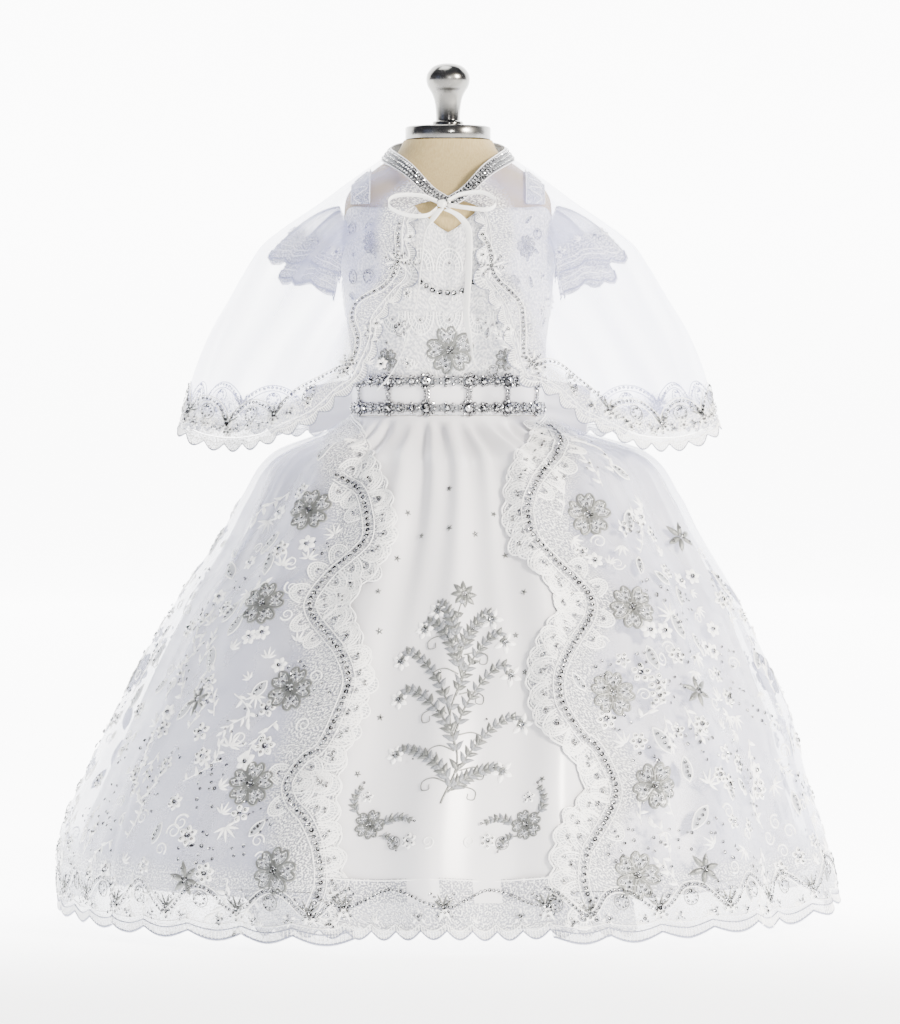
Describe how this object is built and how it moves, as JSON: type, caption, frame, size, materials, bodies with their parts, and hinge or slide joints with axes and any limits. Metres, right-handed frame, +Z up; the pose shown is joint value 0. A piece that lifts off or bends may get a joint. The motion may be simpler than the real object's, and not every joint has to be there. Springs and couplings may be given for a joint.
{
  "type": "christening gown with cape on a dress form",
  "caption": "Child's white satin christening gown with a lace overskirt, flutter sleeves, a stone-set belt and a sheer tied cape, on a limbless linen dress form with metal fittings.",
  "frame": {"origin": "centre of the dress form's round base, on the surface that it stands on", "axes": "+Z up, -Y the front of the gown, +X to the right as seen from the front"},
  "size_m": [0.6805, 0.6186, 0.7401],
  "materials": {
    "satin": "glossy white satin",
    "organza": "sheer white organza",
    "lace": "embroidered lace with silver thread",
    "linen": "fine beige linen stretched over the form",
    "pewter": "nickel plated, polished",
    "rhinestone": "rows of clear stones in silver cups"
  },
  "bodies": {
    "root": {"bodice_front": "satin", "bodice_back_left": "satin", "bodice_back_right": "satin", "belt_band": "satin", "sash_back": "satin", "underskirt_front": "satin", "underskirt_back": "satin", "bow_loop_left": "satin", "bow_loop_right": "satin", "bow_tail_left": "satin", "bow_tail_right": "satin", "bow_knot": "satin", "tie_knot": "satin", "tie_loop_left": "satin", "tie_loop_right": "satin", "tie_tail_left": "satin", "tie_tail_right": "satin", "overskirt_left": "organza", "overskirt_right": "organza", "cape_left": "organza", "cape_right": "organza", "sleeve_upper_left": "organza", "sleeve_upper_right": "organza", "sleeve_lower_left": "organza", "sleeve_lower_right": "organza", "strap_left": "lace", "strap_right": "lace", "front_hem_lace": "lace", "hem_lace_left": "lace", "hem_lace_right": "lace", "cape_lace_left": "lace", "cape_lace_right": "lace", "form_torso": "linen", "form_base": "pewter", "form_pole": "pewter", "form_neck_cap": "pewter", "form_finial": "pewter", "belt_trim": "rhinestone", "cape_collar": "rhinestone"}
  },
  "joints": []
}
